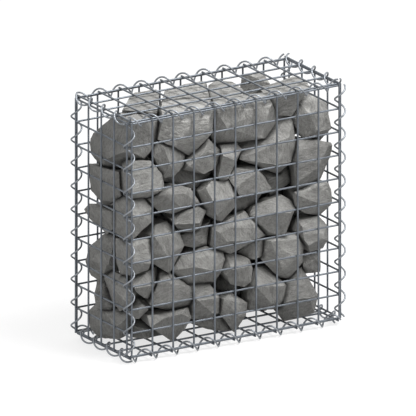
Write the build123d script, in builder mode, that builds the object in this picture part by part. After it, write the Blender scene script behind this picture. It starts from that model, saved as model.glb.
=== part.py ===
"""A gabion: a welded-mesh basket, laced along its edges with wire spirals and packed with broken stone."""
from build123d import *
from itertools import combinations
from math import atan2, cos, pi, radians, sin, sqrt
import os

os.makedirs("parts", exist_ok=True)

# Driving dimensions, in millimetres, with X along the wall, Y to the back and Z up
mesh = 50.0
wire = 3.0
meshes_long = 10
meshes_deep = 4
meshes_high = 10
edge_offset = 4.2
lid_lift = wire
stub = 2.4
lid_stub = 4.0
spiral_radius = 10.7
segments_a_turn = 7
fit = 0.2
stone_gap = 0.3
hearting_size = 60.0
fit_tolerance = 0.000001
neighbours = 24

# Sizes that follow from them
length = mesh * meshes_long
depth = mesh * meshes_deep
height = mesh * meshes_high
half_length = length / 2
half_depth = depth / 2
half_height = height / 2
inner = edge_offset
outer = edge_offset + wire
lid_inner = half_height + lid_lift
lid_outer = lid_inner + wire
corner_reach = wire / sqrt(2)
crimp_reach = 2 * corner_reach + fit
coil_outside = spiral_radius + corner_reach


def pitches(count):
    """Places of the wires across a panel of so many meshes, counted from its middle."""
    return [mesh * (i - count / 2) for i in range(count + 1)]


# Front and back panels: upright wires outside, level wires inside, fused where they cross
def long_panel(side):
    with BuildPart() as panel:
        with Locations(*[(x, side * (half_depth + outer), 0) for x in pitches(meshes_long)]):
            Box(wire, wire, height + 2 * stub)
        with Locations(*[(0, side * (half_depth + inner), z) for z in pitches(meshes_high)]):
            Box(length + 2 * stub, wire, wire)
    return panel


# End panels: the same make, four meshes deep
def end_panel(side):
    with BuildPart() as panel:
        with Locations(*[(side * (half_length + outer), y, 0) for y in pitches(meshes_deep)]):
            Box(wire, wire, height + 2 * stub)
        with Locations(*[(side * (half_length + inner), 0, z) for z in pitches(meshes_high)]):
            Box(wire, depth + 2 * stub, wire)
    return panel


# Lid and base: the long wires lie on the end panels, the short wires outside them
def flat_panel(side):
    with BuildPart() as panel:
        with Locations(*[(x, 0, side * lid_outer) for x in pitches(meshes_long)]):
            Box(wire, depth + 2 * lid_stub, wire)
        with Locations(*[(0, y, side * lid_inner) for y in pitches(meshes_deep)]):
            Box(length + 2 * lid_stub, wire, wire)
    return panel


panels = {
    "front_panel": long_panel(-1),
    "back_panel": long_panel(1),
    "left_panel": end_panel(-1),
    "right_panel": end_panel(1),
    "lid_panel": flat_panel(1),
    "base_panel": flat_panel(-1),
}
for name, panel in panels.items():
    panel.part.label = name
    export_step(panel.part, f"parts/{name}.step")


# Spirals: each is wound round the two edge wires that lie side by side, its ends crimped against them
def upright_edge(end, side):
    """The two edge wires at an upright corner, in X and Y."""
    return (
        Vector(end * half_length, side * (half_depth + outer)),
        Vector(end * (half_length + outer), side * half_depth),
    )


def long_edge(side, level):
    """The two edge wires along a long edge of the lid or base, in Y and Z."""
    return (
        Vector(side * half_depth, level * lid_inner),
        Vector(side * (half_depth + inner), level * half_height),
    )


def short_edge(end, level):
    """The two edge wires along a short edge of the lid or base, in Z and X."""
    return (
        Vector(level * lid_outer, end * half_length),
        Vector(level * half_height, end * (half_length + inner)),
    )


def middle(edge):
    return (edge[0] + edge[1]) / 2


def crimped(end, edge):
    """The end of a coil, bent in from its round until it bears on the nearer edge wire."""
    wires = [spot - middle(edge) for spot in edge]
    near = min(wires, key=lambda spot: (end - spot).length)
    return near + (end - near).normalized() * crimp_reach


def spiral(edge, lower_end, along, start_from, span, start_angle):
    """A right-handed coil of square wire, one turn to each mesh, mitred at each bend."""
    steps = round(span / mesh * segments_a_turn)
    turn = 2 * pi / segments_a_turn
    points = []
    first, last = 1, steps - 1
    for i in range(first, last + 1):
        angle = radians(start_angle) + turn * i
        spot = Vector(spiral_radius * cos(angle), spiral_radius * sin(angle))
        if i in (first, last):
            spot = crimped(spot, edge)
        points.append((spot.X, spot.Y, span * i / steps))
    axis = Plane(origin=lower_end, x_dir=start_from, z_dir=along)
    with BuildPart() as coil:
        with BuildLine(axis) as path:
            Polyline(*points)
        with BuildSketch(Plane(origin=path.line @ 0, x_dir=path.line @ 0 - lower_end, z_dir=path.line % 0)):
            Rectangle(wire, wire)
        sweep(path=path.line, transition=Transition.RIGHT)
    return coil


def upright_spiral(end, side, start_angle):
    edge = upright_edge(end, side)
    spot = middle(edge)
    lower_end = Vector(spot.X, spot.Y, -half_height)
    return spiral(edge, lower_end, (0, 0, 1), (1, 0, 0), height, start_angle)


def long_spiral(side, level, start_angle):
    edge = long_edge(side, level)
    spot = middle(edge)
    lower_end = Vector(-half_length, spot.X, spot.Y)
    return spiral(edge, lower_end, (1, 0, 0), (0, 1, 0), length, start_angle)


def short_spiral(end, level, start_angle):
    edge = short_edge(end, level)
    spot = middle(edge)
    lower_end = Vector(spot.Y, -half_depth, spot.X)
    return spiral(edge, lower_end, (0, 1, 0), (0, 0, 1), depth, start_angle)


spirals = {
    "front_left_spiral": upright_spiral(-1, -1, 134),
    "back_left_spiral": upright_spiral(-1, 1, 61),
    "front_right_spiral": upright_spiral(1, -1, 4),
    "back_right_spiral": upright_spiral(1, 1, 38),
    "top_front_spiral": long_spiral(-1, 1, 88),
    "top_back_spiral": long_spiral(1, 1, 57),
    "bottom_front_spiral": long_spiral(-1, -1, 180),
    "bottom_back_spiral": long_spiral(1, -1, 0),
    "top_left_spiral": short_spiral(-1, 1, -10),
    "top_right_spiral": short_spiral(1, 1, 25),
    "bottom_left_spiral": short_spiral(-1, -1, 135),
    "bottom_right_spiral": short_spiral(1, -1, 225),
}
for name, coil in spirals.items():
    coil.part.label = name
    export_step(coil.part, f"parts/{name}.step")

# What the photograph shows: its middle, the size of a mesh in it, the angles of its view and the meshes
middle_pixels = (208.0, 207.9)
mesh_pixels = 24.39
view_turn = 31.69
view_rise = 17.65
shown_long = 10
shown_deep = 4
shown_high = 10

# Stones: the corners that show, as the pixel across, the pixel down and the steps in from the face
stone_pixels = {
    "front_stones_1": [
        {"front": [
            (148, 314, 0.9), (170, 310, 1.0), (187, 306, 0.9), (190, 318, 0.6), (184, 329, 0.8),
            (172, 340, 1.3), (152, 327, 0.3), (165, 318, 0.1), (181, 314, 0.2),
        ]},
        {"front": [
            (186, 286, 1.0), (208, 283, 1.0), (219, 297, 0.6), (219, 312, 0.6), (208, 319, 0.9),
            (191, 318, 1.0), (188, 304, 0.8), (199, 301, 0.1), (213, 313, 0.2), (217, 298, 0.2),
        ]},
        {"front": [
            (219, 298, 0.8), (231, 293, 1.0), (247, 303, 0.8), (245, 315, 0.8), (233, 333, 0.9),
            (221, 316, 0.5), (225, 300, 0.1), (241, 303, 0.2), (239, 316, 0.2),
        ]},
        {"front": [
            (251, 284, 0.8), (256, 269, 1.0), (268, 266, 1.6), (286, 284, 0.6), (283, 301, 0.5),
            (276, 308, 1.0), (250, 309, 1.3), (247, 300, 1.2), (257, 287, 0.0), (272, 303, 0.2),
            (283, 286, 0.2),
        ]},
        {"front": [
            (286, 284, 0.7), (301, 268, 1.1), (317, 295, 0.9), (313, 312, 0.7), (296, 318, 0.6),
            (284, 320, 1.2), (278, 311, 1.2), (284, 303, 0.4), (298, 299, 0.0), (301, 281, 0.3),
            (310, 298, 0.1),
        ]},
        {"front": [
            (188, 322, 1.5), (202, 318, 1.7), (221, 317, 1.3), (234, 332, 1.2), (214, 330, 1.5),
            (199, 326, 1.6),
        ]},
    ],
    "front_stones_2": [
        {
            "left": [
                (105, 276, 0.8), (112, 271, 0.9), (128, 279, 0.5), (129, 305, 0.5), (120, 310, 0.6),
                (113, 302, 0.6), (113, 288, 0.1), (124, 300, 0.1),
            ],
            "front": [(132, 282, 0.9), (132, 302, 0.8)],
        },
        {"front": [
            (132, 281, 0.8), (147, 273, 0.9), (156, 266, 1.7), (157, 284, 1.2), (149, 298, 1.2),
            (141, 304, 0.6), (150, 286, 0.2), (136, 288, 0.1),
        ]},
        {"front": [
            (149, 299, 0.8), (157, 279, 0.8), (166, 269, 1.3), (193, 288, 0.7), (193, 298, 0.5),
            (191, 304, 1.1), (170, 310, 1.1), (152, 305, 0.6), (170, 284, 0.1), (168, 304, 0.1),
        ]},
        {"front": [
            (174, 270, 0.9), (183, 256, 0.9), (206, 247, 0.9), (222, 253, 0.7), (224, 260, 0.6),
            (220, 271, 0.5), (214, 282, 1.0), (186, 284, 1.1), (196, 267, 0.1), (200, 258, 0.2),
            (210, 270, 0.1),
        ]},
        {"front": [
            (219, 269, 1.0), (227, 254, 1.0), (248, 258, 0.7), (252, 268, 0.6), (250, 281, 0.3),
            (244, 286, 0.4), (231, 283, 0.5), (227, 275, 0.3), (232, 270, 0.0), (247, 267, 0.1),
        ]},
        {"front": [
            (264, 240, 0.9), (297, 233, 0.9), (303, 246, 0.7), (301, 262, 0.7), (289, 277, 0.9),
            (277, 276, 0.8), (262, 258, 0.9), (272, 242, 0.1), (297, 240, 0.2), (296, 258, 0.0),
            (283, 269, 0.2),
        ]},
        {"front": [
            (301, 257, 1.3), (311, 250, 1.3), (320, 248, 1.2), (320, 271, 1.2), (305, 273, 1.3),
            (304, 266, 0.9), (316, 259, 0.8),
        ]},
    ],
    "front_stones_3": [
        {
            "front": [
                (133, 241, 0.6), (150, 240, 0.6), (150, 263, 0.3), (147, 269, 0.7), (135, 274, 0.6),
                (133, 263, 0.0), (133, 248, 0.1),
            ],
            "left": [(116, 239, 0.5), (117, 262, 0.4), (121, 274, 0.6), (127, 263, 0.1)],
        },
        {"front": [
            (150, 238, 0.6), (156, 226, 1.0), (166, 222, 1.2), (178, 232, 0.6), (183, 245, 0.5),
            (168, 273, 0.8), (154, 265, 0.8), (150, 252, 0.5), (156, 238, 0.2), (173, 235, 0.2),
            (168, 256, 0.0),
        ]},
        {"front": [
            (179, 233, 1.2), (199, 231, 1.0), (208, 222, 1.3), (206, 244, 1.0), (194, 247, 1.0),
            (184, 245, 1.1), (192, 238, 0.8), (212, 213, 2.2),
        ]},
        {"front": [
            (206, 242, 1.1), (208, 226, 1.1), (243, 210, 0.9), (252, 219, 0.8), (264, 235, 0.8),
            (231, 253, 0.7), (214, 247, 0.7), (221, 233, 0.2), (232, 228, 0.1), (254, 228, 0.1),
            (228, 241, 0.1), (250, 240, 0.1),
        ]},
        {"front": [
            (250, 217, 0.6), (256, 203, 0.9), (280, 195, 1.0), (291, 201, 0.9), (294, 209, 0.5),
            (284, 235, 0.5), (264, 234, 1.1), (276, 213, 0.0), (290, 213, 0.1), (270, 231, 0.4),
        ]},
        {"front": [
            (291, 234, 1.2), (297, 220, 1.1), (318, 216, 0.8), (326, 225, 0.8), (327, 240, 0.8),
            (322, 248, 1.0), (307, 252, 0.8), (303, 227, 0.1), (313, 220, 0.3), (322, 238, 0.1),
            (306, 246, 0.1),
        ]},
        {"front": [
            (238, 252, 1.6), (250, 245, 1.5), (256, 240, 0.8), (265, 238, 0.8), (263, 255, 0.8),
            (255, 259, 0.9), (247, 259, 1.5),
        ]},
    ],
    "front_stones_4": [
        {
            "front": [
                (133, 200, 0.5), (142, 198, 0.7), (151, 209, 0.7), (151, 221, 0.8), (133, 238, 0.5),
                (133, 217, 0.0), (141, 215, 0.2),
            ],
            "left": [(115, 203, 0.4), (122, 197, 0.5), (114, 230, 0.4), (125, 240, 0.4)],
        },
        {"front": [
            (148, 198, 0.7), (172, 185, 0.7), (188, 186, 0.7), (200, 205, 0.9), (172, 213, 0.6),
            (159, 210, 0.7), (165, 195, 0.1), (185, 194, 0.0), (182, 207, 0.2),
        ]},
        {"front": [
            (172, 219, 0.7), (184, 209, 0.7), (196, 206, 0.6), (205, 211, 0.7), (198, 231, 0.9),
            (180, 231, 0.9), (176, 224, 0.1), (199, 223, 0.0), (196, 209, 0.3),
        ]},
        {"front": [
            (198, 190, 1.0), (211, 180, 0.9), (229, 180, 0.8), (236, 194, 0.6), (233, 207, 0.6),
            (221, 221, 0.7), (207, 214, 1.0), (214, 202, 0.0), (233, 199, 0.1), (217, 214, 0.2),
            (206, 187, 0.5),
        ]},
        {"front": [
            (229, 179, 0.7), (236, 169, 0.9), (255, 166, 0.9), (264, 177, 0.7), (270, 188, 0.6),
            (240, 197, 0.4), (257, 172, 0.2), (236, 188, 0.3), (262, 192, 0.3),
        ]},
        {"front": [
            (294, 191, 0.7), (318, 180, 0.7), (328, 184, 0.8), (334, 201, 0.8), (318, 215, 0.9),
            (307, 213, 0.8), (296, 206, 0.5), (319, 203, 0.1), (300, 196, 0.1), (318, 187, 0.1),
        ]},
        {"front": [
            (162, 178, 1.9), (176, 169, 2.2), (210, 173, 2.2), (206, 181, 1.7), (193, 193, 1.6),
            (172, 187, 1.7),
        ]},
        {"front": [
            (262, 171, 1.5), (289, 166, 1.6), (292, 180, 1.5), (271, 196, 1.7), (267, 182, 1.2),
            (275, 175, 1.0),
        ]},
        {"front": [
            (237, 199, 1.6), (262, 192, 1.7), (253, 206, 1.5), (246, 210, 1.4), (233, 214, 1.6),
            (236, 208, 1.4),
        ]},
    ],
    "front_stones_5": [
        {
            "front": [
                (133, 163, 0.3), (150, 162, 0.4), (161, 174, 0.5), (163, 186, 0.6), (150, 197, 0.8),
                (133, 199, 0.7), (160, 190, 0.2), (133, 194, 0.1),
            ],
            "left": [(121, 174, 0.5), (121, 190, 0.5)],
        },
        {"front": [
            (156, 141, 0.7), (154, 156, 0.7), (163, 177, 0.8), (174, 175, 0.7), (184, 163, 0.8),
            (184, 152, 0.9), (165, 149, 0.2), (175, 147, 0.4), (171, 166, 0.2),
        ]},
        {"front": [
            (185, 160, 0.8), (194, 151, 0.9), (207, 139, 0.8), (223, 154, 0.8), (213, 168, 0.7),
            (204, 173, 0.6), (184, 169, 0.8), (205, 152, 0.2), (190, 166, 0.3),
        ]},
        {"front": [
            (216, 146, 0.9), (235, 143, 1.0), (241, 150, 0.8), (228, 178, 0.6), (221, 181, 0.8),
            (216, 168, 0.5), (224, 156, 0.1), (234, 160, 0.2),
        ]},
        {"front": [
            (241, 159, 0.7), (245, 148, 0.9), (264, 138, 0.8), (276, 124, 0.9), (292, 119, 0.9),
            (295, 145, 0.6), (290, 161, 0.4), (277, 173, 1.5), (257, 161, 0.2), (276, 164, 0.1),
            (288, 138, 0.1), (262, 147, 0.1),
        ]},
        {"front": [
            (297, 141, 0.6), (321, 141, 0.6), (334, 145, 0.9), (320, 177, 0.8), (303, 188, 0.6),
            (293, 189, 0.8), (291, 163, 0.7), (327, 147, 0.3), (317, 168, 0.1), (299, 150, 0.0),
            (298, 181, 0.2),
        ]},
    ],
    "front_stones_6": [
        {
            "front": [
                (131, 126, 0.3), (147, 122, 0.3), (159, 124, 1.2), (152, 148, 0.7), (143, 158, 0.9),
                (133, 158, 0.8),
            ],
            "left": [
                (90, 137, 0.4), (112, 119, 0.4), (92, 152, 0.4), (105, 160, 0.1), (122, 157, 0.2),
                (104, 168, 1.3), (122, 171, 1.3),
            ],
            "lid": [(121, 115, 0.1), (150, 118, 0.1)],
        },
        {
            "front": [
                (162, 122, 0.3), (157, 140, 0.5), (175, 145, 0.1), (207, 137, 0.2), (213, 129, 0.6),
                (213, 110, 0.3), (190, 154, 0.9),
            ],
            "lid": [(163, 117, 0.0), (207, 111, 0.0), (163, 100, 0.2), (208, 98, 0.2)],
        },
        {
            "front": [
                (211, 131, 0.9), (216, 143, 1.5), (230, 110, 0.1), (229, 128, 0.1), (268, 104, 0.0),
                (261, 137, 0.2), (226, 138, 0.6), (276, 117, 1.0), (266, 137, 0.8),
            ],
            "lid": [(214, 106, 0.0), (270, 99, 0.0), (215, 98, 0.3), (262, 93, 0.3)],
        },
        {
            "front": [(271, 98, 0.3), (277, 114, 0.6), (293, 115, 0.6), (301, 93, 0.2)],
            "lid": [(281, 85, 0.3), (292, 77, 0.3), (303, 79, 0.3), (310, 86, 0.1)],
        },
        {"front": [
            (293, 120, 0.8), (300, 103, 0.7), (313, 97, 0.9), (326, 104, 0.9), (330, 128, 0.7),
            (319, 139, 1.2), (303, 137, 0.8), (309, 113, 0.0), (318, 131, 0.1), (326, 112, 0.4),
        ]},
    ],
    "back_stones_1": [
        {"left": [
            (90, 311, 0.6), (100, 301, 0.9), (124, 312, 0.9), (127, 317, 0.8), (119, 338, 0.6),
            (99, 337, 0.6), (91, 326, 0.6), (104, 312, 0.1), (116, 326, 0.1), (98, 325, 0.2),
        ]},
    ],
    "back_stones_2": [
        {"left": [
            (97, 280, 1.3), (105, 282, 1.2), (110, 299, 1.4), (98, 300, 1.4), (93, 293, 1.2),
            (101, 290, 0.9),
        ]},
    ],
    "back_stones_3": [
        {"left": [
            (82, 262, 0.8), (89, 248, 0.8), (105, 234, 0.8), (114, 238, 0.8), (113, 268, 0.7),
            (102, 281, 0.9), (88, 272, 0.9), (102, 252, 0.1), (92, 260, 0.2), (107, 266, 0.2),
        ]},
    ],
    "back_stones_4": [
        {"left": [
            (83, 205, 0.8), (92, 201, 1.0), (113, 207, 0.9), (113, 211, 0.2), (86, 211, 0.3),
            (114, 226, 0.3), (106, 233, 0.5), (91, 219, 0.4),
        ]},
    ],
    "back_stones_5": [
        {"left": [
            (91, 160, 0.5), (104, 167, 0.3), (120, 172, 0.2), (121, 192, 0.1), (117, 200, 0.4),
            (101, 200, 0.5), (97, 182, 0.1), (90, 178, 0.9), (91, 188, 1.0), (108, 207, 1.3),
        ]},
    ],
    "back_stones_6": [
        {"lid": [
            (121, 113, 0.1), (130, 98, 0.1), (141, 88, 0.3), (157, 91, 0.3), (162, 99, 0.1),
            (160, 116, 0.1),
        ]},
        {"lid": [(163, 100, 0.1), (166, 91, 0.3), (194, 81, 0.3), (207, 83, 0.3), (210, 97, 0.1)]},
        {"lid": [
            (209, 86, 0.3), (216, 81, 0.3), (232, 82, 0.3), (242, 89, 0.3), (242, 98, 0.4),
            (211, 97, 0.4),
        ]},
        {"lid": [
            (241, 77, 0.6), (247, 74, 0.3), (262, 72, 0.3), (269, 83, 0.4), (269, 92, 1.3),
            (245, 98, 1.6), (237, 84, 1.1),
        ]},
    ],
}

# Stones of the front courses that are laid again in the back ones, turned half round
turned_stones = {
    "back_stones_1": (0, 1, 2, 3, 4),
    "back_stones_2": (0, 1, 2, 3, 4, 5),
    "back_stones_3": (0, 1, 3, 4),
    "back_stones_4": (0, 1, 2, 3, 4),
    "back_stones_5": (0, 1, 2, 3, 4),
    "back_stones_6": (),
}

# Hearting: small stones in the gaps behind, as the pixel across, the pixel down and the steps in
hearting_pixels = {
    "front_stones_1": [(139, 308, 1.5)],
    "front_stones_2": [(226, 254, 2.2)],
    "front_stones_3": [(209, 219, 2.6)],
    "front_stones_4": [(295, 203, 2.4)],
    "front_stones_5": [(145, 158, 2.4)],
}

# Each face: its outward direction, its distance, and the way in that a stone's bulk lies
shown_faces = {
    "front": (Vector(0, -1, 0), mesh * shown_deep / 2, Vector(0.25, 0.93, -0.10)),
    "left": (Vector(-1, 0, 0), mesh * shown_long / 2, Vector(0.80, 0.58, -0.15)),
    "lid": (Vector(0, 0, 1), mesh * shown_high / 2, Vector(0.10, 0.20, -0.97)),
}
step_share = 0.18
spread_share = 1.06
turned_spread_share = 1.5
tail_depth_share = 0.5
tail_reach_share = 0.9
parting_ways = 24
tail_every = 2


def view_ways():
    """The directions to the right, upwards and back to the viewer in the photograph."""
    turn = radians(view_turn)
    rise = radians(view_rise)
    right = Vector(cos(turn), -sin(turn), 0)
    up = Vector(sin(turn) * sin(rise), cos(turn) * sin(rise), cos(rise))
    back = Vector(-sin(turn) * cos(rise), -cos(turn) * cos(rise), sin(rise))
    return right, up, back


def corner(face, across, down, steps):
    """The place behind a pixel, so many steps in from a face, stretched to the basket's own meshes."""
    way, distance, bulk_way = shown_faces[face]
    right, up, back = view_ways()
    pixel = mesh / mesh_pixels
    sight = right * (across - middle_pixels[0]) * pixel + up * (middle_pixels[1] - down) * pixel
    level = distance - steps * step_share * mesh * shown_deep
    spot = sight + back * ((level - way.dot(sight)) / way.dot(back))
    return Vector(
        spot.X * meshes_long / shown_long,
        spot.Y * meshes_deep / shown_deep,
        spot.Z * meshes_high / shown_high,
    )


def stone_corners(seen, spread_share):
    """The corners that show, spread until the stones bed on each other, and those of the stone's tail.

    A stone that shows on more than one face has most of its bulk there, and a shorter tail.
    """
    shown = [corner(face, *pixel) for face, pixels in seen.items() for pixel in pixels]
    centre = sum(shown, Vector()) / len(shown)
    inward = shown_faces[next(iter(seen))][2].normalized()
    tail_length = tail_depth_share * depth / len(seen)
    front = []
    tail = []
    for spot in shown:
        back = inward * inward.dot(spot - centre)
        across = spot - centre - back
        front.append(centre + back + across * spread_share)
        tail.append(centre + across * tail_reach_share + inward * tail_length)
    return front + tail[::tail_every]


def turned_round(corners):
    """A plainer copy of a stone, with every second corner, turned half round to the back."""
    return [Vector(-spot.X, -spot.Y, spot.Z) for spot in corners[::2]]


def hearting_corners(pixel):
    """The six corners of a hearting stone."""
    centre = corner("front", *pixel)
    return [centre + way * sign * hearting_size / 2 for way in view_ways() for sign in (-1, 1)]


def in_order(spots, way):
    """The corners of a flat face in order round it, seen against its outward direction."""
    centre = sum(spots, Vector()) / len(spots)
    first = (spots[0] - centre).normalized()
    second = way.cross(first)
    return sorted(spots, key=lambda spot: atan2(second.dot(spot - centre), first.dot(spot - centre)))


def on_rim(spot, flat, way):
    """Whether a corner lies on the outline of a flat face, and not inside it."""
    for other in flat:
        side = way.cross(other - spot)
        if side.length > fit_tolerance and all(side.dot(third - spot) > -fit_tolerance for third in flat):
            return True
    return False


def hull(corners):
    """The faces of the stone with these corners: each has its outward direction and its corners in order."""
    centre = sum(corners, Vector()) / len(corners)
    faces = []
    for a, b, c in combinations(corners, 3):
        way = (b - a).cross(c - a)
        if way.length < fit_tolerance:
            continue
        way = way.normalized()
        if way.dot(centre - a) > 0:
            way = -way
        level = way.dot(a)
        if any(way.dot(spot) > level + fit_tolerance for spot in corners):
            continue
        if all((way - other).length > fit_tolerance for other, spots in faces):
            flat = [spot for spot in corners if way.dot(spot) >= level - fit_tolerance]
            faces.append((way, in_order([spot for spot in flat if on_rim(spot, flat, way)], way)))
    return faces


def split_off(faces, way, distance):
    """The faces of a stone that is split along a plane, with the part behind the plane kept."""
    kept = []
    rim = []
    for face_way, spots in faces:
        part = []
        for spot, after in zip(spots, spots[1:] + spots[:1]):
            height = way.dot(spot) - distance
            next_height = way.dot(after) - distance
            if height <= 0:
                part.append(spot)
            if height * next_height < 0:
                cut = spot + (after - spot) * (height / (height - next_height))
                part.append(cut)
                if all((cut - other).length > fit_tolerance for other in rim):
                    rim.append(cut)
        if len(part) > 2:
            kept.append((face_way, part))
    return kept + [(way, in_order(rim, way))]


class Stone:
    """A stone's corners, its faces, and the planes of the beds on which it lies against its neighbours."""

    def __init__(self, corners, is_shown):
        self.corners = corners
        self.is_shown = is_shown
        self.faces = hull(corners)
        self.beds = []

    def span(self, way):
        """How far the stone goes back and forth in a direction."""
        places = [way.dot(spot) for spot in self.corners]
        return min(places), max(places)


def are_near(stone, other):
    """Whether the boxes round two stones meet."""
    for way in (Vector(1, 0, 0), Vector(0, 1, 0), Vector(0, 0, 1)):
        own_low, own_high = stone.span(way)
        low, high = other.span(way)
        if own_low > high or low > own_high:
            return False
    return True


def ways_across():
    """Directions all round, square to the view, along which stones that lie side by side part."""
    right, up, back = view_ways()
    angles = [2 * pi * i / parting_ways for i in range(parting_ways)]
    return [right * cos(angle) + up * sin(angle) for angle in angles]


def bed(stone, other):
    """Dresses two stones back to one plane, along the face that parts them best, where they would meet.

    Of two stones that show, or two that don't, each gives up half; otherwise only the hidden one is cut.
    """
    ways = [way for way, spots in stone.faces] + [-way for way, spots in other.faces] + ways_across()
    gaps = [(other.span(way)[0] - stone.span(way)[1], i) for i, way in enumerate(ways)]
    gap, best = max(gaps)
    if gap < stone_gap:
        way = ways[best]
        if stone.is_shown == other.is_shown:
            cut_share = 1 / 2
        else:
            cut_share = 0 if stone.is_shown else 1
        level = stone.span(way)[1] + (gap - stone_gap) * cut_share + stone_gap / 2
        stone.beds.append((way, level - stone_gap / 2))
        other.beds.append((-way, -level - stone_gap / 2))


def fill_limits():
    """Planes, as an outward direction and a distance, that keep the stones inside the mesh and spirals."""
    limits = []
    room = -wire / 2 - fit
    for sign in (-1, 1):
        limits.append((Vector(sign, 0, 0), half_length + inner + room))
        limits.append((Vector(0, sign, 0), half_depth + inner + room))
        limits.append((Vector(0, 0, sign), lid_inner + room))
        for other in (-1, 1):
            spot = middle(upright_edge(sign, other))
            way = Vector(sign, other, 0).normalized()
            limits.append((way, way.dot(Vector(spot.X, spot.Y, 0)) - coil_outside - fit))
            spot = middle(long_edge(sign, other))
            way = Vector(0, sign, other).normalized()
            limits.append((way, way.dot(Vector(0, spot.X, spot.Y)) - coil_outside - fit))
            spot = middle(short_edge(sign, other))
            way = Vector(sign, 0, other).normalized()
            limits.append((way, way.dot(Vector(spot.Y, 0, spot.X)) - coil_outside - fit))
    return limits


def dressed(stone, limits):
    """A stone split along its beds and the limits of the basket, as a solid."""
    faces = stone.faces
    for way, distance in stone.beds + limits:
        heights = [way.dot(spot) for face_way, spots in faces for spot in spots]
        while any(abs(height - distance) < fit / 2 for height in heights):
            distance -= fit / 2
        if max(heights) > distance:
            faces = split_off(faces, way, distance)
    return Solid(Shell([Face(Wire.make_polygon(spots)) for way, spots in faces]))


def seated(solid, others, limits):
    """A stone that bears on no other, slid to the nearest where the limits of the basket allow it."""
    near = sorted(others, key=lambda other: (other.center() - solid.center()).length)[:neighbours]
    bearings = [solid.distance_to_with_closest_points(other) for other in near]
    gap, own_spot, spot = min(bearings, key=lambda bearing: bearing[0])
    if gap < 2 * stone_gap:
        return solid
    slide = (spot - own_spot) * (1 - stone_gap / gap)
    places = [Vector(*vertex) + slide for vertex in solid.vertices()]
    if any(way.dot(place) > distance for way, distance in limits for place in places):
        return solid
    return solid.moved(Location(slide))


stones = {}
for name, seen_stones in stone_pixels.items():
    stones[name] = [Stone(stone_corners(seen, spread_share), True) for seen in seen_stones]
    for i in turned_stones.get(name, ()):
        seen = stone_pixels[name.replace("back", "front")][i]
        stones[name].append(Stone(turned_round(stone_corners(seen, turned_spread_share)), False))
    stones[name] += [Stone(hearting_corners(pixel), False) for pixel in hearting_pixels.get(name, ())]

every_stone = [stone for course in stones.values() for stone in course]
for stone, other in combinations(every_stone, 2):
    if are_near(stone, other):
        bed(stone, other)

limits = fill_limits()
solids = {stone: dressed(stone, limits) for stone in every_stone}
for stone in every_stone:
    if not stone.is_shown:
        others = [solids[other] for other in every_stone if other is not stone]
        solids[stone] = seated(solids[stone], others, limits)
for name, course in stones.items():
    with BuildPart() as packed:
        add([solids[stone] for stone in course])
    packed.part.label = name
    export_step(packed.part, f"parts/{name}.step")
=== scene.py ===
"""Gabion wall: round mesh wires, smooth edge spirals and broken stones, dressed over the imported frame."""

import math

import bmesh
import bpy
import numpy as np
from bpy.props import FloatProperty, FloatVectorProperty, IntProperty, PointerProperty
from bpy.types import Operator, Panel, PropertyGroup
from mathutils import Matrix, Vector


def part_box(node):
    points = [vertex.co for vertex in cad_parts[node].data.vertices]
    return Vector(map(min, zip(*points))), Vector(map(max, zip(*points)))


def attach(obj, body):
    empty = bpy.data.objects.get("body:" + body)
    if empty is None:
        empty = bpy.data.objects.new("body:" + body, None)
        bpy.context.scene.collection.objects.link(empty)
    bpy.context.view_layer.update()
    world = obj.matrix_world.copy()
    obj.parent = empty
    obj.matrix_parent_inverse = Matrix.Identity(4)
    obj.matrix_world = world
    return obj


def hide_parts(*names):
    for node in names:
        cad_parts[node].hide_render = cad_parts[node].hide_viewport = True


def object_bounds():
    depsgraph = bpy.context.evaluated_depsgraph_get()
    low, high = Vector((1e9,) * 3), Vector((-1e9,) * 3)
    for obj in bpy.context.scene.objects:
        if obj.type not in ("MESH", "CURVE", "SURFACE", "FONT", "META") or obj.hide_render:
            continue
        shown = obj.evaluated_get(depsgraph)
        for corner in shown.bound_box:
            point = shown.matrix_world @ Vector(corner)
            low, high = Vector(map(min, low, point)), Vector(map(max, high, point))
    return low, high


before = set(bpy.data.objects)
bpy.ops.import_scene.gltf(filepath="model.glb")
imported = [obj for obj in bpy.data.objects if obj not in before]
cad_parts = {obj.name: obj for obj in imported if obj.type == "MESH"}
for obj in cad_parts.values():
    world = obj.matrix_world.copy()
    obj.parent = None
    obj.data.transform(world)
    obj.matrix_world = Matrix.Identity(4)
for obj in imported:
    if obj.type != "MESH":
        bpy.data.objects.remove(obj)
CAD_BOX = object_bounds()

bl_info = {
    "name": "Gabion Wall",
    "version": (1, 0, 0),
    "blender": (4, 5, 0),
    "location": "3D View > Sidebar > Gabion",
    "description": "Builds a stone-filled wire basket laced with spirals",
    "category": "Add Mesh",
}

X, Y, Z = 0, 1, 2

# Each panel's node, the axis it faces and the axes that its outer and its inner wires run along
PANELS = {
    "front_panel": (Y, Z, X),
    "back_panel": (Y, Z, X),
    "left_panel": (X, Z, Y),
    "right_panel": (X, Z, Y),
    "lid_panel": (Z, Y, X),
    "base_panel": (Z, Y, X),
}

# Each spiral's node, the axis it runs along and the angle, in degrees, at which its lower end starts
SPIRALS = {
    "front_left_spiral": (Z, 134),
    "back_left_spiral": (Z, 61),
    "front_right_spiral": (Z, 4),
    "back_right_spiral": (Z, 38),
    "top_front_spiral": (X, 88),
    "top_back_spiral": (X, 57),
    "bottom_front_spiral": (X, 180),
    "bottom_back_spiral": (X, 0),
    "top_left_spiral": (Y, -10),
    "top_right_spiral": (Y, 25),
    "bottom_left_spiral": (Y, 135),
    "bottom_right_spiral": (Y, 225),
}

STONE_COURSES = sorted(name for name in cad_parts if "stones" in name)

# Distance at which loose corners of a CAD node are one, and angle under which its triangles are one facet
MERGE_DISTANCE = 1e-5
FLAT_ANGLE = math.radians(1.0)

# Steps from one stone to the next in tone, which spread evenly over 0 to 1, and in the place of its pattern
TONE_STEP = 0.618034
SHIFT_STEPS = (0.37, 0.73, 0.19)

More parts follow.
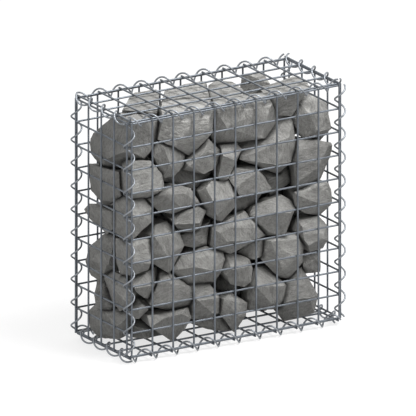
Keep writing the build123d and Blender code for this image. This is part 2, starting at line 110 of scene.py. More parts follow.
# Hearting stones that show low on the left in the photograph: the middle and the radius of each, in metres
SHOWN_HEARTING = (
    (-0.145, 0.023, -0.236, 0.045),
    (-0.155, -0.005, -0.177, 0.03),
    (-0.228, 0.025, -0.167, 0.03),
)

# Lowest and highest corner of the room behind the faces that more hearting closes, in metres
HEARTING_ROOM = ((-0.15, 0.03, -0.23), (0.21, 0.08, 0.17))

# Each lamp's power setting, its size and its place, in metres
LAMPS = {
    "overhead_lamp": ("key_power", 0.9, (0.4, -0.8, 1.75)),
    "front_lamp": ("front_power", 2.2, (-1.7, -1.6, 1.1)),
    "back_lamp": ("back_power", 2.2, (1.2, 2.0, 1.3)),
}

WHITE = (1.0, 1.0, 1.0, 1.0)


# Settings


class GabionWireSettings(PropertyGroup):
    """Sizes and colour of the welded mesh"""

    pitch: FloatProperty(
        name="Mesh Pitch", description="Distance between neighbouring wires",
        default=0.05, unit="LENGTH",
    )
    radius: FloatProperty(
        name="Wire Radius", description="Half the thickness of a mesh wire",
        default=0.002, unit="LENGTH", precision=5,
    )
    weld_radius: FloatProperty(
        name="Weld Radius", description="Size of the bead where two wires cross",
        default=0.0022, unit="LENGTH", precision=5,
    )
    sides: IntProperty(name="Wire Sides", description="Faces round a wire", default=12, min=6)
    colour: FloatVectorProperty(
        name="Zinc Colour", description="Colour of the galvanised mesh",
        default=(0.145, 0.16, 0.18), subtype="COLOR",
    )


class GabionSpiralSettings(PropertyGroup):
    """Sizes and colour of the spirals that lace the edges"""

    coil_radius: FloatProperty(
        name="Coil Radius", description="Radius of the coil at the middle of its wire",
        default=0.0107, unit="LENGTH", precision=5,
    )
    wire_radius: FloatProperty(
        name="Wire Radius", description="Half the thickness of the spiral's wire",
        default=0.0019, unit="LENGTH", precision=5,
    )
    steps: IntProperty(name="Steps a Turn", description="Pieces in one turn", default=32, min=12)
    sides: IntProperty(name="Wire Sides", description="Faces round the wire", default=8, min=6)
    colour: FloatVectorProperty(
        name="Zinc Colour", description="Colour of the brighter spiral wire",
        default=(0.23, 0.245, 0.265), subtype="COLOR",
    )


class GabionStoneSettings(PropertyGroup):
    """Shape and colour of the broken stone"""

    detail: IntProperty(
        name="Surface Detail", description="Halvings of each facet that give the size of its faces",
        default=4, min=1, max=5,
    )
    swell: FloatProperty(
        name="Swell", description="Depth of the broad hollows in a stone's faces",
        default=0.0035, unit="LENGTH", precision=4,
    )
    chips: FloatProperty(
        name="Chips", description="Depth of the small breaks",
        default=0.0022, unit="LENGTH", precision=4,
    )
    crisp: FloatProperty(
        name="Crisp Angle", description="Angle between facets above which their edge stays sharp",
        default=math.radians(16.0), subtype="ANGLE",
    )
    # Rubbed edges and a painted highlight: how much lighter the sharp ridges of a stone are
    rubbing_and_highlight: FloatProperty(
        name="Rubbed and Highlit Edges", description="How much lighter the rubbed edges of a stone are", default=1.12,
    )
    # Painted shade: how much darker a stone's colour is where it lies close to another, standing in for the
    # shade in the gaps
    painted_shade: FloatProperty(
        name="Painted Shade", description="How dark a stone is where it lies against another", default=0.22,
    )
    # Distance from the neighbouring stones at which the painted shade ends
    painted_shade_reach: FloatProperty(
        name="Grime Reach", description="Distance from its neighbours at which a stone is clean",
        default=0.011, unit="LENGTH", precision=4,
    )
    hearting_detail: IntProperty(
        name="Hearting Detail", description="Halvings of each facet of a hearting stone",
        default=2, min=1, max=5,
    )
    hearting_size: FloatProperty(
        name="Hearting Size", description="Radius of a hearting stone before it is trimmed",
        default=0.038, unit="LENGTH", precision=4,
    )
    hearting_step: FloatProperty(
        name="Hearting Step", description="Step between the places that are tried for hearting",
        default=0.012, unit="LENGTH", precision=4,
    )
    hearting_least: FloatProperty(
        name="Least Room", description="Least distance from the stones round it at which hearting is laid",
        default=0.011, unit="LENGTH", precision=4,
    )
    hearting_recess: FloatProperty(
        name="Hearting Recess",
        description="Distance of the hearting from front and back, clear of the spirals",
        default=0.013, unit="LENGTH", precision=4,
    )
    hearting_gap: FloatProperty(
        name="Hearting Gap", description="Gap between a hearting stone and the stones it lies against",
        default=0.001, unit="LENGTH", precision=4,
    )
    light: FloatVectorProperty(
        name="Light Grain", description="Colour of the light grain",
        default=(0.385, 0.381, 0.366), subtype="COLOR",
    )
    dark: FloatVectorProperty(
        name="Dark Grain", description="Colour of the dark grain",
        default=(0.225, 0.222, 0.212), subtype="COLOR",
    )
    seed: IntProperty(name="Seed", description="Fixed seed for the stones' tones", default=7)


class GabionStageSettings(PropertyGroup):
    """Camera, lamps and floor"""

    azimuth: FloatProperty(
        name="Azimuth", description="Angle of the view from the front, to the right",
        default=math.radians(-31.69), subtype="ANGLE",
    )
    elevation: FloatProperty(
        name="Elevation", description="Angle of the view above the level",
        default=math.radians(17.65), subtype="ANGLE",
    )
    view_width: FloatProperty(
        name="View Width", description="Width that the parallel view shows",
        default=0.853, unit="LENGTH",
    )
    view_distance: FloatProperty(
        name="View Distance", description="Distance from the camera to the basket's middle",
        default=4.0, unit="LENGTH",
    )
    floor_size: FloatProperty(
        name="Floor Size", description="Side of the square floor", default=14.0, unit="LENGTH",
    )
    floor_tone: FloatProperty(
        name="Floor Tone", description="Share of light that the floor throws back", default=0.28,
    )
    floor_lift: FloatProperty(
        name="Floor Lift", description="Light added to the floor where it is seen, up to white", default=0.72,
    )
    key_power: FloatProperty(
        name="Key Power", description="Power of the lamp overhead", default=46.0, unit="POWER",
    )
    front_power: FloatProperty(
        name="Front Power", description="Power of the lamp in front", default=14.0, unit="POWER",
    )
    back_power: FloatProperty(
        name="Back Power", description="Power of the lamp behind", default=14.0, unit="POWER",
    )
    sky: FloatProperty(name="Sky Strength", description="Strength of the even light all round", default=0.54)


# Node tree helpers


def add_node(tree, kind, values=None, **options):
    """A node with its options and the values of its named inputs."""
    node = tree.nodes.new(kind)
    for key, value in options.items():
        setattr(node, key, value)
    for key, value in (values or {}).items():
        socket = node.inputs[key]
        if isinstance(value, bpy.types.NodeSocket):
            tree.links.new(value, socket)
        else:
            socket.default_value = value
    return node


def weighted(tree, parts):
    """The sum of a number of values, each times its share."""
    total = 0.0
    for value, share in parts:
        sum_node = add_node(tree, "ShaderNodeMath", {0: value, 1: share, 2: total}, operation="MULTIPLY_ADD")
        total = sum_node.outputs[0]
    return total


def new_tree(name, kind, inputs, outputs):
    """An empty node group with named inputs and outputs."""
    tree = bpy.data.node_groups.new(name, kind)
    for label, socket_type in inputs.items():
        tree.interface.new_socket(name=label, in_out="INPUT", socket_type=socket_type)
    for label, socket_type in outputs.items():
        tree.interface.new_socket(name=label, in_out="OUTPUT", socket_type=socket_type)
    return tree, tree.nodes.new("NodeGroupInput"), tree.nodes.new("NodeGroupOutput")


def geometry_tree(name, inputs):
    """An empty geometry tree, the outputs of its input node and its output node."""
    tree, given, output = new_tree(name, "GeometryNodeTree", inputs, {"Geometry": "NodeSocketGeometry"})
    return tree, given.outputs, output


def finish_tree(tree, geometry, material, output):
    """Ends a geometry tree: instances realized, shaded smooth, material set."""
    realized = add_node(tree, "GeometryNodeRealizeInstances", {"Geometry": geometry})
    smooth = add_node(tree, "GeometryNodeSetShadeSmooth", {"Geometry": realized.outputs["Geometry"]})
    painted = add_node(
        tree, "GeometryNodeSetMaterial", {"Geometry": smooth.outputs["Geometry"], "Material": material}
    )
    tree.links.new(painted.outputs["Geometry"], output.inputs["Geometry"])


def grown(name, tree, values, mesh=None):
    """A plain mesh object made by a geometry tree, with the tree's inputs set by identifier."""
    thing = bpy.data.objects.new(name, mesh or bpy.data.meshes.new(name))
    bpy.context.scene.collection.objects.link(thing)
    modifier = thing.modifiers.new("Shape", "NODES")
    modifier.node_group = tree
    for item in tree.interface.items_tree:
        if item.in_out == "INPUT" and item.name in values:
            modifier[item.identifier] = values[item.name]
    return baked(thing)


def baked(thing):
    """The object with its modifiers turned into plain mesh."""
    graph = bpy.context.evaluated_depsgraph_get()
    mesh = bpy.data.meshes.new_from_object(thing.evaluated_get(graph))
    thing.modifiers.clear()
    thing.data = mesh
    mesh.name = thing.name
    return thing


def dress(thing, node=None):
    """Seats a finished piece on the frame, in place of its CAD node if it has one."""
    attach(thing, "root")
    if node:
        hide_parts(node)


# Materials


def mottle_group():
    """Shader group, made once: cloudy patches and fine grain, for the zinc and the stone."""
    if "Mottle" in bpy.data.node_groups:
        return bpy.data.node_groups["Mottle"]
    tree, given, result = new_tree(
        "Mottle", "ShaderNodeTree",
        {"Vector": "NodeSocketVector", "Patch Scale": "NodeSocketFloat", "Grain Scale": "NodeSocketFloat"},
        {"Patches": "NodeSocketFloat", "Grain": "NodeSocketFloat"},
    )
    patches = add_node(
        tree, "ShaderNodeTexNoise",
        {"Vector": given.outputs["Vector"], "Scale": given.outputs["Patch Scale"], "Detail": 3.0},
    )
    grain = add_node(
        tree, "ShaderNodeTexNoise",
        {"Vector": given.outputs["Vector"], "Scale": given.outputs["Grain Scale"], "Detail": 4.0,
         "Roughness": 0.62},
    )
    tree.links.new(patches.outputs["Fac"], result.inputs["Patches"])
    tree.links.new(grain.outputs["Fac"], result.inputs["Grain"])
    return tree


def new_material(name):
    """A material with only its shader and output, and the tree to add to."""
    material = bpy.data.materials.new(name)
    material.use_nodes = True
    tree = material.node_tree
    return material, tree, tree.nodes["Principled BSDF"]


def ramp(tree, factor, stops):
    """A colour ramp with its stops placed."""
    node = add_node(tree, "ShaderNodeValToRGB", {"Fac": factor})
    elements = node.color_ramp.elements
    while len(elements) < len(stops):
        elements.new(0.5)
    for element, (place, colour) in zip(elements, stops):
        element.position = place
        element.color = (*colour, 1.0)
    return node.outputs["Color"]


def scaled(colour, factor):
    """A colour made lighter or darker."""
    return tuple(factor * channel for channel in colour)


def zinc_material(name, colour):
    """Dull galvanised wire with a faint cloudy bloom."""
    material, tree, shader = new_material(name)
    place = add_node(tree, "ShaderNodeTexCoord")
    cloud = add_node(
        tree, "ShaderNodeGroup",
        {"Vector": place.outputs["Object"], "Patch Scale": 60.0, "Grain Scale": 420.0},
        node_tree=mottle_group(),
    )
    tint = ramp(tree, cloud.outputs["Patches"], [(0.3, scaled(colour, 0.78)), (0.7, scaled(colour, 1.18))])
    tree.links.new(tint, shader.inputs["Base Color"])
    sheen = add_node(
        tree, "ShaderNodeMapRange",
        {"Value": cloud.outputs["Grain"], "To Min": 0.34, "To Max": 0.56},
    )
    tree.links.new(sheen.outputs["Result"], shader.inputs["Roughness"])
    shader.inputs["Metallic"].default_value = 0.75
    return material


def own(tree, name):
    """The value of a stone's own attribute."""
    return add_node(tree, "ShaderNodeAttribute", attribute_name=name).outputs["Fac"]


def stone_material(settings):
    """Warm grey broken stone: a tone for each, streaks along its bedding, ridges made lighter as rubbed edges
    and as a painted highlight, painted shade in the gaps between stones.
    """
    material, tree, shader = new_material("Broken Stone")
    place = add_node(tree, "ShaderNodeTexCoord")
    tone = own(tree, "tone")
    turn = add_node(tree, "ShaderNodeMath", {0: tone, 1: math.tau}, operation="MULTIPLY")
    bedding = add_node(
        tree, "ShaderNodeVectorRotate",
        {"Vector": place.outputs["Object"], "Axis": (0.6, 0.3, 0.74), "Angle": turn.outputs[0]},
    )
    streaked = add_node(
        tree, "ShaderNodeMapping", {"Vector": bedding.outputs["Vector"], "Scale": (1.0, 1.4, 4.0)},
    )
    streaks = add_node(
        tree, "ShaderNodeTexNoise",
        {"Vector": streaked.outputs["Vector"], "Scale": 70.0, "Detail": 6.0, "Roughness": 0.68},
    )
    rock = add_node(
        tree, "ShaderNodeGroup",
        {"Vector": place.outputs["Object"], "Patch Scale": 22.0, "Grain Scale": 330.0},
        node_tree=mottle_group(),
    )
    surface = weighted(tree, [
        (streaks.outputs["Fac"], 0.55), (rock.outputs["Grain"], 0.3), (rock.outputs["Patches"], 0.15),
    ])
    shades = [
        {"Value": tone, "To Min": 0.82, "To Max": 1.12},
        # Rubbed edges and a painted highlight: ridges lighter with the angle at their edge
        {"Value": own(tree, "wear"), "From Min": 0.05, "From Max": 0.25,
         "To Min": 1.0, "To Max": settings.rubbing_and_highlight},
        # Painted shade: the stone's colour darker where it lies close to its neighbours
        {"Value": own(tree, "clean"), "To Min": settings.painted_shade},
    ]
    colour = ramp(tree, surface, [(0.40, settings.dark), (0.58, settings.light)])
    for shade in shades:
        factor = add_node(tree, "ShaderNodeMapRange", shade).outputs["Result"]
        shaded = add_node(tree, "ShaderNodeVectorMath", {0: colour, 3: factor}, operation="SCALE")
        colour = shaded.outputs["Vector"]
    tree.links.new(colour, shader.inputs["Base Color"])
    bump = add_node(tree, "ShaderNodeBump", {"Strength": 0.9, "Distance": 0.006, "Height": surface})
    tree.links.new(bump.outputs["Normal"], shader.inputs["Normal"])
    shader.inputs["Roughness"].default_value = 0.88
    shader.inputs["Specular IOR Level"].default_value = 0.3
    return material


def shown(tree):
    """One where a surface is seen, straight, mirrored or through glass, and zero where it lights others."""
    path = add_node(tree, "ShaderNodeLightPath").outputs
    mask = path["Is Camera Ray"]
    for ray in ("Is Glossy Ray", "Is Transmission Ray"):
        mask = add_node(tree, "ShaderNodeMath", {0: mask, 1: path[ray]}, operation="MAXIMUM").outputs[0]
    return mask


def floor_material(tone, lift):
    """Pale floor that reads white where it is seen and keeps the basket's shadow."""
    material, tree, shader = new_material("Pale Floor")
    shader.inputs["Base Color"].default_value = (tone, tone, tone, 1.0)
    shader.inputs["Roughness"].default_value = 0.9
    glow = add_node(tree, "ShaderNodeMath", {0: shown(tree), 1: lift}, operation="MULTIPLY")
    shader.inputs["Emission Color"].default_value = WHITE
    tree.links.new(glow.outputs[0], shader.inputs["Emission Strength"])
    return material


# Welded mesh panels


def mesh_panel_tree():
    """Geometry tree: two layers of round wires, and a weld bead wherever they cross."""
    inputs = {
        f"{layer} {label}": "NodeSocketVector"
        for layer in ("Outer", "Inner") for label in ("Start", "Step", "Half")
    }
    inputs.update({
        "Outer Count": "NodeSocketInt", "Inner Count": "NodeSocketInt", "Wire Sides": "NodeSocketInt",
        "Wire Radius": "NodeSocketFloat", "Weld Radius": "NodeSocketFloat", "Weld Start": "NodeSocketVector",
        "Material": "NodeSocketMaterial",
    })
    tree, sizes, output = geometry_tree("Welded Mesh Panel", inputs)
    section = add_node(
        tree, "GeometryNodeCurvePrimitiveCircle",
        {"Resolution": sizes["Wire Sides"], "Radius": sizes["Wire Radius"]},
    )
    panel = add_node(tree, "GeometryNodeJoinGeometry")
    for layer in ("Outer", "Inner"):
        half = sizes[f"{layer} Half"]
        back = add_node(tree, "ShaderNodeVectorMath", {0: half, 3: -1.0}, operation="SCALE")
        line = add_node(
            tree, "GeometryNodeCurvePrimitiveLine", {"Start": back.outputs["Vector"], "End": half},
        )
        rod = add_node(
            tree, "GeometryNodeCurveToMesh",
            {"Curve": line.outputs["Curve"], "Profile Curve": section.outputs["Curve"], "Fill Caps": True},
        )
        row = add_node(
            tree, "GeometryNodeMeshLine",
            {"Count": sizes[f"{layer} Count"], "Start Location": sizes[f"{layer} Start"],
             "Offset": sizes[f"{layer} Step"]},
        )
        wires = add_node(
            tree, "GeometryNodeInstanceOnPoints",
            {"Points": row.outputs["Mesh"], "Instance": rod.outputs["Mesh"]},
        )
        tree.links.new(wires.outputs["Instances"], panel.inputs["Geometry"])
    across = add_node(
        tree, "GeometryNodeMeshLine",
        {"Count": sizes["Outer Count"], "Start Location": sizes["Weld Start"],
         "Offset": sizes["Outer Step"]},
    )
    along = add_node(
        tree, "GeometryNodeMeshLine", {"Count": sizes["Inner Count"], "Offset": sizes["Inner Step"]},
    )
    rows = add_node(
        tree, "GeometryNodeInstanceOnPoints",
        {"Points": across.outputs["Mesh"], "Instance": along.outputs["Mesh"]},
    )
    crossings = add_node(tree, "GeometryNodeRealizeInstances", {"Geometry": rows.outputs["Instances"]})
    bead = add_node(
        tree, "GeometryNodeMeshIcoSphere", {"Radius": sizes["Weld Radius"], "Subdivisions": 2},
    )
    beads = add_node(
        tree, "GeometryNodeInstanceOnPoints",
        {"Points": crossings.outputs["Geometry"], "Instance": bead.outputs["Mesh"]},
    )
    tree.links.new(beads.outputs["Instances"], panel.inputs["Geometry"])
    finish_tree(tree, panel.outputs["Geometry"], sizes["Material"], output)
    return tree


def layer_values(layer, low, high, run, spread, level, pitch):
    """Start, step, half length and count of one layer of wires in a panel."""
    middle = (low + high) / 2
    count = round((high[spread] - low[spread]) / pitch) + 1
    start, step, half = middle.copy(), Vector(), Vector()
    start[spread] -= pitch * (count - 1) / 2
    start[3 - run - spread] = level
    step[spread] = pitch
    half[run] = (high[run] - low[run]) / 2
    return {
        f"{layer} Start": start, f"{layer} Step": step, f"{layer} Half": half, f"{layer} Count": count,
    }


class GABION_OT_mesh_panels(Operator):
    """Build the six welded mesh panels"""

    bl_idname = "gabion.mesh_panels"
    bl_label = "Mesh Panels"

    def execute(self, context):
        settings = context.scene.gabion_wire
        tree = mesh_panel_tree()
        zinc = zinc_material("Galvanised Mesh", settings.colour)
        for node, (facing, outer_run, inner_run) in PANELS.items():
            low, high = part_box(node)
            outward = 1 if low[facing] + high[facing] > 0 else -1
            middle = (low[facing] + high[facing]) / 2
            offset = outward * (high[facing] - low[facing]) / 4
            values = layer_values(
                "Outer", low, high, outer_run, inner_run, middle + offset, settings.pitch,
            )
            values.update(layer_values(
                "Inner", low, high, inner_run, outer_run, middle - offset, settings.pitch,
            ))
            weld = values["Outer Start"].copy()
            weld[outer_run] = values["Inner Start"][outer_run]
            weld[facing] = middle
            values.update({
                "Weld Start": weld, "Wire Sides": settings.sides, "Wire Radius": settings.radius,
                "Weld Radius": settings.weld_radius, "Material": zinc,
            })
            dress(grown(f"{node}_wires", tree, values), node)
        return {"FINISHED"}


# Edge spirals


def spiral_tree():
    """Geometry tree: a right-handed helix of round wire."""
    inputs = {
        "Coil Radius": "NodeSocketFloat", "Length": "NodeSocketFloat", "Turns": "NodeSocketFloat",
        "Steps": "NodeSocketInt", "Wire Radius": "NodeSocketFloat", "Wire Sides": "NodeSocketInt",
        "Place": "NodeSocketVector", "Turned": "NodeSocketRotation", "Material": "NodeSocketMaterial",
    }
    tree, sizes, output = geometry_tree("Edge Spiral", inputs)
    helix = add_node(
        tree, "GeometryNodeCurveSpiral",
        {"Resolution": sizes["Steps"], "Rotations": sizes["Turns"], "Start Radius": sizes["Coil Radius"],
         "End Radius": sizes["Coil Radius"], "Height": sizes["Length"], "Reverse": True},
    )
    section = add_node(
        tree, "GeometryNodeCurvePrimitiveCircle",
        {"Resolution": sizes["Wire Sides"], "Radius": sizes["Wire Radius"]},
    )
    coil = add_node(
        tree, "GeometryNodeCurveToMesh",
        {"Curve": helix.outputs["Curve"], "Profile Curve": section.outputs["Curve"], "Fill Caps": True},
    )
    placed = add_node(
        tree, "GeometryNodeTransform",
        {"Geometry": coil.outputs["Mesh"], "Translation": sizes["Place"], "Rotation": sizes["Turned"]},
    )
    finish_tree(tree, placed.outputs["Geometry"], sizes["Material"], output)
    return tree


def along_axis(run):
    """Rotation that carries Z to the run axis and X to the axis after it."""
    turned = Matrix.Identity(3)
    for i in range(3):
        turned.col[i] = Vector([float(j == (run + 1 + i) % 3) for j in range(3)])
    return turned


class GABION_OT_spirals(Operator):
    """Wind the twelve spirals round the edge wires"""

    bl_idname = "gabion.spirals"
    bl_label = "Edge Spirals"

    def execute(self, context):
        settings = context.scene.gabion_spiral
        pitch = context.scene.gabion_wire.pitch
        tree = spiral_tree()
        zinc = zinc_material("Bright Spiral Wire", settings.colour)
        for node, (run, start_angle) in SPIRALS.items():
            low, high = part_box(node)
            turns = round((high[run] - low[run]) / pitch)
            place = (low + high) / 2
            place[run] -= turns * pitch / 2
            turned = along_axis(run) @ Matrix.Rotation(math.radians(start_angle), 3, "Z")
            values = {
                "Coil Radius": settings.coil_radius, "Length": turns * pitch, "Turns": float(turns),
                "Steps": settings.steps, "Wire Radius": settings.wire_radius, "Wire Sides": settings.sides,
                "Place": place, "Turned": turned.to_euler(), "Material": zinc,
            }
            dress(grown(f"{node}_wire", tree, values), node)
        return {"FINISHED"}


# Stones


def marked(tree, geometry, name, value):
    """The geometry with a value kept on it as its own attribute."""
    store = add_node(
        tree, "GeometryNodeStoreNamedAttribute", {"Geometry": geometry, "Name": name, "Value": value},
        data_type="FLOAT", domain="POINT",
    )
    return store.outputs["Geometry"]


def weathered_tree():
    """Geometry tree: lighter ridges (rubbed and painted highlight), painted shade near the neighbours and
    tone marked on a stone, hollows and chips pushed into its surface.
    """
    inputs = {
        "Geometry": "NodeSocketGeometry", "Detail": "NodeSocketInt", "Swell": "NodeSocketFloat",
        "Chips": "NodeSocketFloat", "Tone": "NodeSocketFloat", "Shift": "NodeSocketVector",
        "Neighbours": "NodeSocketObject", "Grime Reach": "NodeSocketFloat", "Material": "NodeSocketMaterial",
    }
    tree, sizes, output = geometry_tree("Weathered Stone", inputs)
    split = add_node(
        tree, "GeometryNodeSubdivideMesh", {"Mesh": sizes["Geometry"], "Level": sizes["Detail"]},
    )
    # Rubbed edges and a painted highlight: the angle at each edge, marked to make the ridges lighter
    ridge = add_node(tree, "GeometryNodeInputMeshEdgeAngle")
    worn_and_highlit = marked(tree, split.outputs["Mesh"], "wear", ridge.outputs["Unsigned Angle"])
    # Painted shade: distance to the neighbouring stones, marked from darkest at contact to none at the reach
    beside = add_node(tree, "GeometryNodeObjectInfo", {"Object": sizes["Neighbours"]})
    nearest = add_node(tree, "GeometryNodeProximity", {0: beside.outputs["Geometry"]}, target_element="FACES")
    clean = add_node(
        tree, "ShaderNodeMapRange", {"Value": nearest.outputs["Distance"], "From Max": sizes["Grime Reach"]},
        interpolation_type="SMOOTHSTEP",
    )
    shade_marked = marked(tree, worn_and_highlit, "clean", clean.outputs["Result"])
    place = add_node(tree, "GeometryNodeInputPosition")
    shifted = add_node(
        tree, "ShaderNodeVectorMath", {0: place.outputs["Position"], 1: sizes["Shift"]}, operation="ADD",
    )
    hollows = []
    for label, scale, detail in (("Swell", 30.0, 2.0), ("Chips", 110.0, 3.0)):
        noise = add_node(
            tree, "ShaderNodeTexNoise",
            {"Vector": shifted.outputs["Vector"], "Scale": scale, "Detail": detail, "Roughness": 0.55},
        )
        centred = add_node(tree, "ShaderNodeMath", {0: noise.outputs["Fac"], 1: 0.5}, operation="SUBTRACT")
        hollows.append((centred.outputs[0], sizes[label]))
    normal = add_node(tree, "GeometryNodeInputNormal")
    push = add_node(
        tree, "ShaderNodeVectorMath", {0: normal.outputs["Normal"], 3: weighted(tree, hollows)},
        operation="SCALE",
    )
    moved = add_node(
        tree, "GeometryNodeSetPosition", {"Geometry": shade_marked, "Offset": push.outputs["Vector"]},
    )
    toned = marked(tree, moved.outputs["Geometry"], "tone", sizes["Tone"])
    finish_tree(tree, toned, sizes["Material"], output)
    return tree


def split_stones(node):
    """One mesh for each stone of a course, merged from the CAD node's loose triangles."""
    whole = bmesh.new()
    whole.from_mesh(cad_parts[node].data)
    bmesh.ops.remove_doubles(whole, verts=whole.verts, dist=MERGE_DISTANCE)
    bmesh.ops.dissolve_limit(whole, angle_limit=FLAT_ANGLE, verts=whole.verts, edges=whole.edges)
    stones = []
    left = set(whole.verts)
    while left:
        start = min(left, key=lambda vert: vert.index)
        group, to_visit = {start}, [start]
        while to_visit:
            for edge in to_visit.pop().link_edges:
                for vert in edge.verts:
                    if vert not in group:
                        group.add(vert)
                        to_visit.append(vert)
        left -= group
        stone = bmesh.new()
        copies = {vert: stone.verts.new(vert.co) for vert in sorted(group, key=lambda vert: vert.index)}
        for face in whole.faces:
            if face.verts[0] in group:
                stone.faces.new([copies[vert] for vert in face.verts])
        mesh = bpy.data.meshes.new(node)
        stone.to_mesh(mesh)
        stone.free()
        stones.append(mesh)
    whole.free()
    return stones


def joined(name, meshes):
    """One object that holds a number of meshes."""
    whole = bmesh.new()
    for mesh in meshes:
        whole.from_mesh(mesh)
    mesh = bpy.data.meshes.new(name)
    whole.to_mesh(mesh)
    whole.free()
    thing = bpy.data.objects.new(name, mesh)
    bpy.context.scene.collection.objects.link(thing)
    return thing


def panel_cuts(recess):
    """A point and an inward direction for each side of the hearting's room between the panels."""
    low, high = Vector(), Vector()
    for node, (facing, *_) in PANELS.items():
        panel_low, panel_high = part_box(node)
        if panel_low[facing] < 0:
            low[facing] = panel_high[facing]
        else:
            high[facing] = panel_low[facing]
    low.y += recess
    high.y -= recess
    cuts = []
    for axis in Matrix.Identity(3):
        cuts += [(low, axis), (high, -axis)]
    return cuts


def room_left(places, stone):
    """The distance of each place from a stone, taken square to the stone's nearest face."""
    normals = np.array([polygon.normal for polygon in stone.polygons])
    levels = np.array([polygon.normal.dot(polygon.center) for polygon in stone.polygons])
    return (places @ normals.T - levels).max(axis=1)


def hearting_stone(middle, radius, neighbours, settings):
    """A block round a free place, trimmed along the panels and the nearest face of each neighbour."""
    gap = settings.hearting_gap
    cuts = panel_cuts(settings.hearting_recess)
    for stone in neighbours:
        face = max(stone.polygons, key=lambda polygon: polygon.normal.dot(middle - polygon.center))
        cuts.append((face.center + face.normal * gap, face.normal.copy()))
    block = bmesh.new()
    bmesh.ops.create_icosphere(block, subdivisions=1, radius=radius, matrix=Matrix.Translation(middle))
    for point, inward in cuts:
        if inward.dot(middle - point) < 0:
            raise RuntimeError("A hearting stone's place is inside another stone or outside the basket")
        cut = bmesh.ops.bisect_plane(
            block, geom=[*block.verts, *block.edges, *block.faces], clear_outer=True,
            plane_co=point, plane_no=-inward,
        )
        rim = [item for item in cut["geom_cut"] if isinstance(item, bmesh.types.BMEdge)]
        bmesh.ops.edgeloop_fill(block, edges=rim)
    bmesh.ops.remove_doubles(block, verts=block.verts, dist=gap)
    bmesh.ops.recalc_face_normals(block, faces=block.faces)
    mesh = bpy.data.meshes.new("hearting")
    block.to_mesh(mesh)
    block.free()
    return mesh


def lay_hearting(laid, settings):
    """Hearting stones where the photograph shows them, then in the largest gaps that are left."""
    stones = list(laid)
    for *middle, radius in SHOWN_HEARTING:
        stones.append(hearting_stone(Vector(middle), radius, stones, settings))
    steps = [np.arange(low, high, settings.hearting_step) for low, high in zip(*HEARTING_ROOM)]
    places = np.stack(np.meshgrid(*steps, indexing="ij"), axis=-1).reshape(-1, 3)
    room = np.min([room_left(places, stone) for stone in stones], axis=0)
    while room.max() > settings.hearting_least:
        middle = Vector(places[room.argmax()])
        stones.append(hearting_stone(middle, settings.hearting_size, stones, settings))
        room = np.minimum(room, room_left(places, stones[-1]))
    return stones[len(laid):]


class GABION_OT_stones(Operator):
    """Weather the stones of every course, darken them with painted shade where they lie close to others, and
    close the gaps behind them with hearting
    """

    bl_idname = "gabion.stones"
    bl_label = "Stones"

    def execute(self, context):
        settings = context.scene.gabion_stone
        tree = weathered_tree()
        rock = stone_material(settings)
        courses = {node: split_stones(node) for node in STONE_COURSES}
        hearting = lay_hearting([mesh for meshes in courses.values() for mesh in meshes], settings)
        laid = [mesh for meshes in (*courses.values(), hearting) for mesh in meshes]
        count = settings.seed
        for node, meshes in {**courses, "hearting": hearting}.items():
            rough = []
            detail = settings.detail if node in courses else settings.hearting_detail
            for mesh in meshes:
                count += 1
                others = joined("neighbours", [other for other in laid if other is not mesh])
                values = {
                    "Detail": detail, "Swell": settings.swell, "Chips": settings.chips,
                    "Tone": (count * TONE_STEP) % 1.0,
                    "Shift": Vector([count * step for step in SHIFT_STEPS]),
                    "Neighbours": others, "Grime Reach": settings.painted_shade_reach, "Material": rock,
                }
                stone = grown(f"{node}_{count}", tree, values, mesh)
                rough.append(stone.data)
                bpy.data.objects.remove(stone)
                bpy.data.objects.remove(others)
            piece = joined(f"{node}_rock", rough)
            piece.data.set_sharp_from_angle(angle=settings.crisp)
            piece.data.materials.append(rock)
            dress(piece, node if node in courses else None)
        return {"FINISHED"}


# Stage


def add_lamp(name, power, size, place, target):
    """A soft square lamp that points at a target."""
    data = bpy.data.lights.new(name, "AREA")
    data.energy = power
    data.size = size
    lamp = bpy.data.objects.new(name, data)
    lamp.location = place
    lamp.rotation_euler = (target - Vector(place)).to_track_quat("-Z", "Y").to_euler()
    bpy.context.scene.collection.objects.link(lamp)


def set_world(strength):
    """Even white light, seen as a white background."""
    world = bpy.data.worlds.new("Studio")
    world.use_nodes = True
    tree = world.node_tree
    back = tree.nodes["Background"]
    back.inputs["Color"].default_value = WHITE
    level = add_node(
        tree, "ShaderNodeMapRange", {"Value": shown(tree), "To Min": strength, "To Max": 1.0},
    )
    tree.links.new(level.outputs["Result"], back.inputs["Strength"])
    bpy.context.scene.world = world


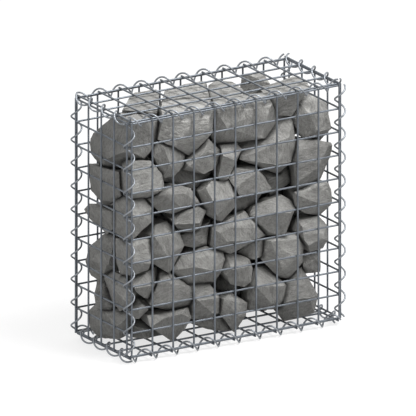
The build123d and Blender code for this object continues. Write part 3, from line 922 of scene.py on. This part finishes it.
class GABION_OT_stage(Operator):
    """Set the floor, the lamps and the camera"""

    bl_idname = "gabion.stage"
    bl_label = "Stage"

    def execute(self, context):
        settings = context.scene.gabion_stage
        low, high = CAD_BOX
        floor_mesh = bpy.data.meshes.new("floor")
        half = settings.floor_size / 2
        corners = [(-half, -half, low.z), (half, -half, low.z), (half, half, low.z), (-half, half, low.z)]
        floor_mesh.from_pydata(corners, [], [(0, 1, 2, 3)])
        floor_mesh.materials.append(floor_material(settings.floor_tone, settings.floor_lift))
        floor = bpy.data.objects.new("floor", floor_mesh)
        context.scene.collection.objects.link(floor)

        set_world(settings.sky)
        middle = Vector()
        for name, (power, size, place) in LAMPS.items():
            add_lamp(name, getattr(settings, power), size, place, middle)

        camera_data = bpy.data.cameras.new("photo_view")
        camera_data.type = "ORTHO"
        camera_data.ortho_scale = settings.view_width
        camera = bpy.data.objects.new("photo_view", camera_data)
        level = math.cos(settings.elevation)
        back = Vector((
            math.sin(settings.azimuth) * level, -math.cos(settings.azimuth) * level,
            math.sin(settings.elevation),
        ))
        camera.location = middle + back * settings.view_distance
        camera.rotation_euler = (-back).to_track_quat("-Z", "Y").to_euler()
        context.scene.collection.objects.link(camera)
        context.scene.camera = camera
        context.scene.view_settings.view_transform = "Standard"
        return {"FINISHED"}


class GABION_PT_panel(Panel):
    """Lists the gabion's pieces and settings"""

    bl_idname = "GABION_PT_panel"
    bl_label = "Gabion Wall"
    bl_space_type = "VIEW_3D"
    bl_region_type = "UI"
    bl_category = "Gabion"

    def draw(self, context):
        for operator, group in STEPS:
            box = self.layout.box()
            box.operator(operator.bl_idname)
            settings = getattr(context.scene, group)
            for key in settings.__annotations__:
                box.prop(settings, key)


STEPS = (
    (GABION_OT_mesh_panels, "gabion_wire"),
    (GABION_OT_spirals, "gabion_spiral"),
    (GABION_OT_stones, "gabion_stone"),
    (GABION_OT_stage, "gabion_stage"),
)
SETTINGS = {
    "gabion_wire": GabionWireSettings,
    "gabion_spiral": GabionSpiralSettings,
    "gabion_stone": GabionStoneSettings,
    "gabion_stage": GabionStageSettings,
}
CLASSES = (*SETTINGS.values(), *(operator for operator, group in STEPS), GABION_PT_panel)


def register():
    for item in CLASSES:
        bpy.utils.register_class(item)
    for name, group in SETTINGS.items():
        setattr(bpy.types.Scene, name, PointerProperty(type=group))


def unregister():
    for name in SETTINGS:
        delattr(bpy.types.Scene, name)
    for item in reversed(CLASSES):
        bpy.utils.unregister_class(item)


def main():
    register()
    bpy.ops.gabion.mesh_panels()
    bpy.ops.gabion.spirals()
    bpy.ops.gabion.stones()
    bpy.ops.gabion.stage()


if __name__ == "__main__":
    main()
